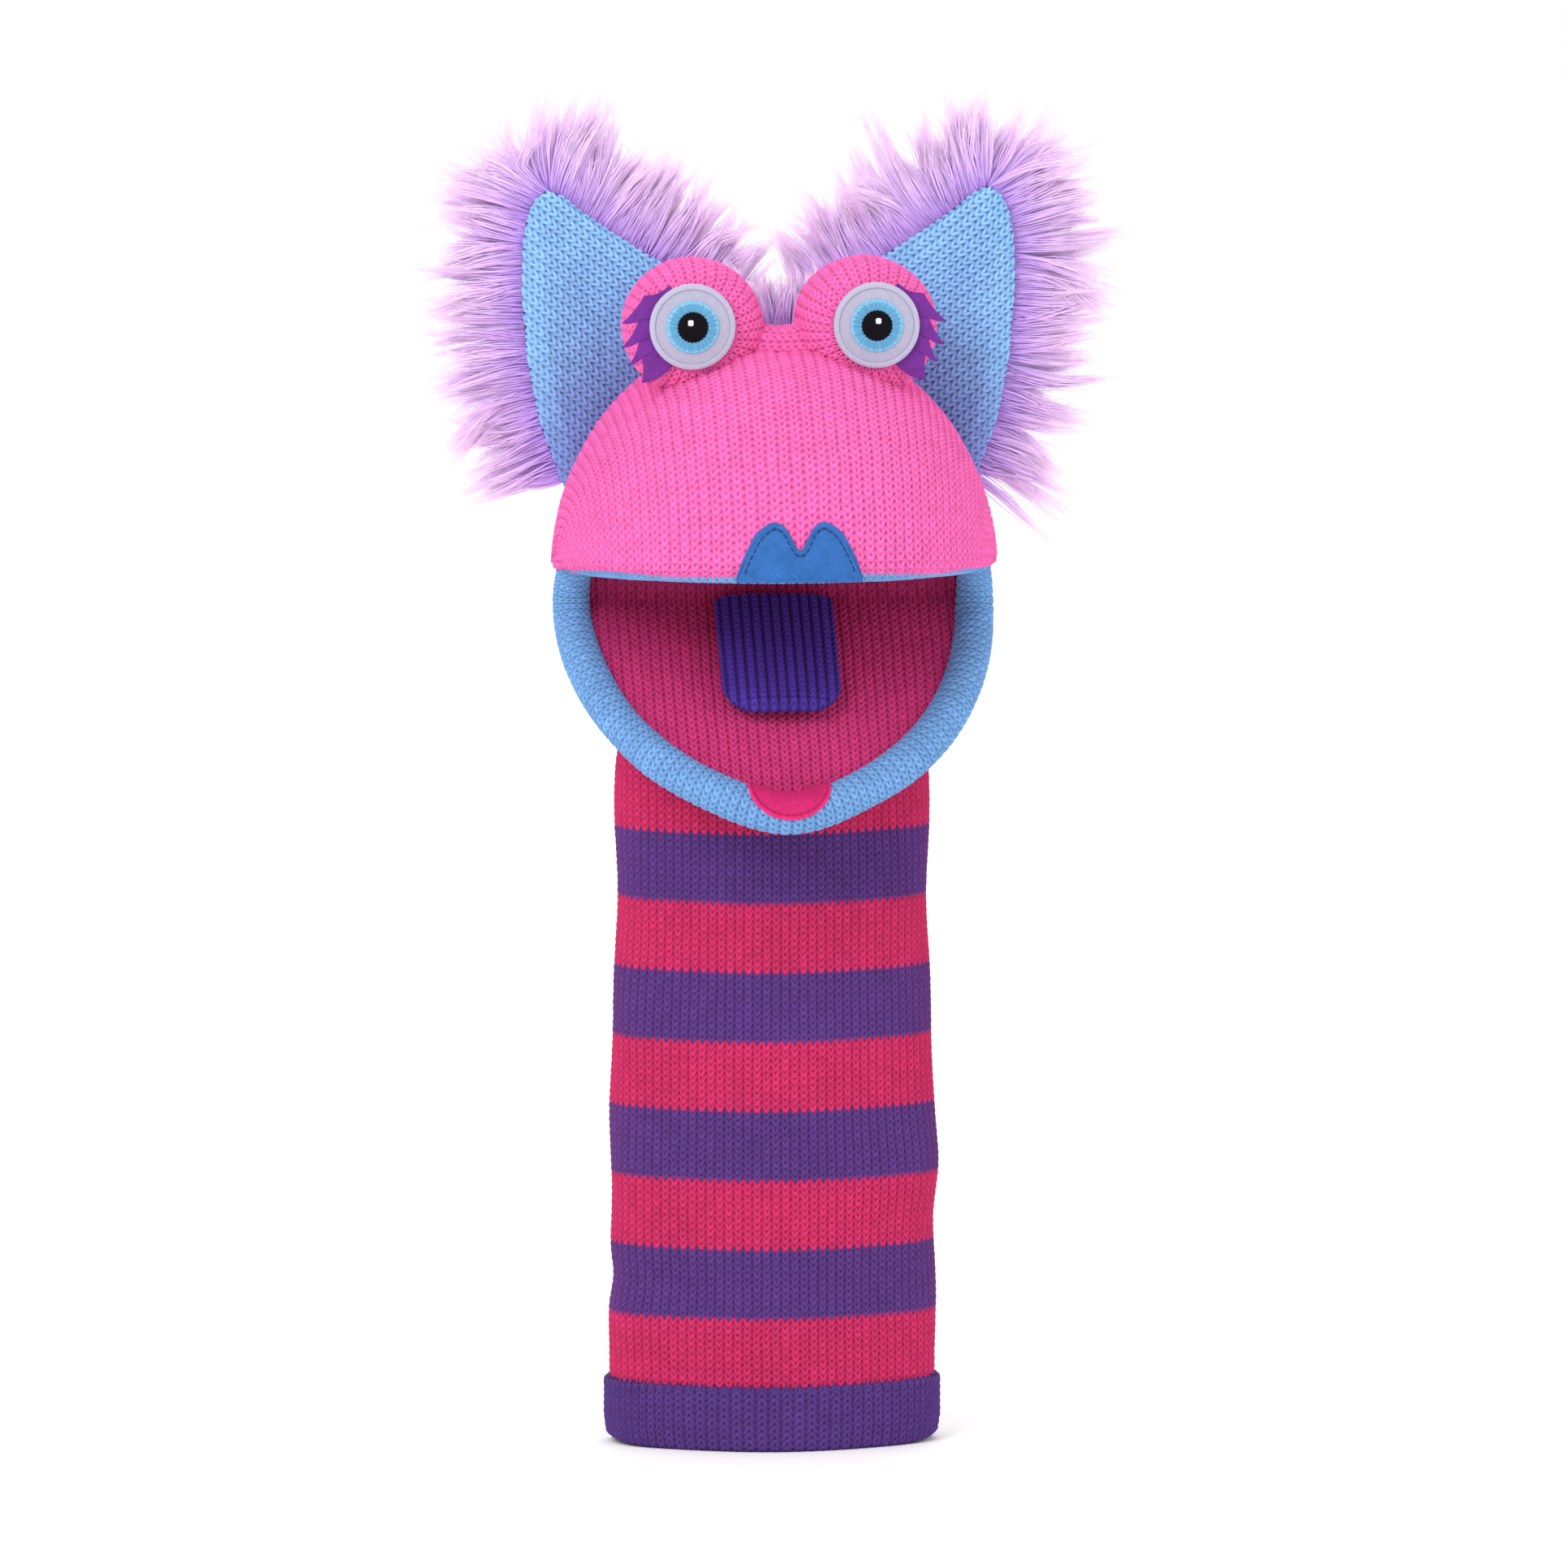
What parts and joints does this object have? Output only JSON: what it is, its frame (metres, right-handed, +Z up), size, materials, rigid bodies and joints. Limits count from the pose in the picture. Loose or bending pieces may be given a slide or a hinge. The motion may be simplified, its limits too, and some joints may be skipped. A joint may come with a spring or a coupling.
{
  "type": "sock puppet",
  "caption": "Knitted hand puppet with a striped arm sleeve, a hinged mouth with padded lips and a tongue, mound eyes and fur-backed ears.",
  "frame": {"origin": "centre of the arm opening at the hem's lower edge", "axes": "+Z up along the sleeve, the face looks along -Y, +X is the puppet's own left"},
  "size_m": [0.1898, 0.1373, 0.3933],
  "materials": {
    "sleeve_knit": "matt",
    "hem_knit": "matt",
    "head_knit": "matt",
    "lining_knit": "matt",
    "lip_knit": "matt",
    "ear_knit": "matt",
    "tongue_knit": "matt",
    "felt_blue": "matt",
    "felt_pink": "matt",
    "felt_purple": "matt",
    "thread_blue": "matt",
    "thread_pink": "matt",
    "fur_lilac": "matt",
    "wadding": "matt",
    "pocket_cloth": "matt",
    "eva_board": "matt",
    "thread_white": "matt",
    "thread_iris": "matt",
    "thread_black": "matt"
  },
  "bodies": {
    "sleeve": {"sleeve": "sleeve_knit", "hem_cuff": "hem_knit"},
    "head": {"head_shell": "head_knit", "nape": "sleeve_knit", "head_foam": "wadding", "finger_pocket": "pocket_cloth", "upper_jaw_board": "eva_board", "palate_lining": "lining_knit", "upper_lip_roll": "lip_knit", "upper_lip_core": "wadding", "upper_lip_patch": "felt_blue", "upper_lip_stitching": "thread_blue", "mane_fur": "fur_lilac", "brow_bridge": "head_knit", "neck_gusset": "sleeve_knit", "throat_gusset": "sleeve_knit", "mouth_back_lining": "lining_knit", "mouth_corner_left": "lip_knit", "mouth_corner_right": "lip_knit", "eye_mound_left": "head_knit", "eye_mound_right": "head_knit", "eye_stuffing_left": "wadding", "eye_stuffing_right": "wadding", "eye_disc_left": "thread_white", "eye_disc_right": "thread_white", "eye_iris_left": "thread_iris", "eye_iris_right": "thread_iris", "eye_pupil_left": "thread_black", "eye_pupil_right": "thread_black", "eye_glint_left": "thread_white", "eye_glint_right": "thread_white", "eyelashes_left": "felt_purple", "eyelashes_right": "felt_purple"},
    "lower_jaw": {"lower_lining": "lining_knit", "lower_jaw_board": "eva_board", "chin_cover": "sleeve_knit", "thumb_pocket": "pocket_cloth", "lower_lip_roll": "lip_knit", "lower_lip_core": "wadding", "lower_lip_patch": "felt_pink", "lower_lip_stitching": "thread_pink"},
    "tongue": {"tongue_cover": "tongue_knit", "tongue_wadding": "wadding"},
    "ear_left": {"ear_front_left": "ear_knit", "ear_wadding_left": "wadding", "ear_fur_left": "fur_lilac"},
    "ear_right": {"ear_front_right": "ear_knit", "ear_wadding_right": "wadding", "ear_fur_right": "fur_lilac"}
  },
  "joints": [
    {"name": "neck_nod", "type": "hinge", "parent": "sleeve", "child": "head", "pos_m": [0, 0, 0.201], "axis": [-1, 0, 0], "range_deg": [-15, 15], "deforming": ["neck_gusset"]},
    {"name": "jaw", "type": "hinge", "parent": "head", "child": "lower_jaw", "pos_m": [0, -0.006, 0.258], "axis": [1, 0, 0], "range_deg": [-49, 10], "deforming": ["throat_gusset", "mouth_back_lining", "mouth_corner_left", "mouth_corner_right"]},
    {"name": "tongue_flap", "type": "hinge", "parent": "lower_jaw", "child": "tongue", "pos_m": [0, -0.00435, 0.25257], "axis": [-1, 0, 0], "range_deg": [0, 25]},
    {"name": "ear_left_flop", "type": "hinge", "parent": "head", "child": "ear_left", "pos_m": [0.04793, 0.01, 0.30768], "axis": [0.6899, 0, -0.7239], "range_deg": [-14, 14]},
    {"name": "ear_right_flop", "type": "hinge", "parent": "head", "child": "ear_right", "pos_m": [-0.04793, 0.01, 0.30768], "axis": [0.6899, 0, 0.7239], "range_deg": [-14, 14]}
  ]
}
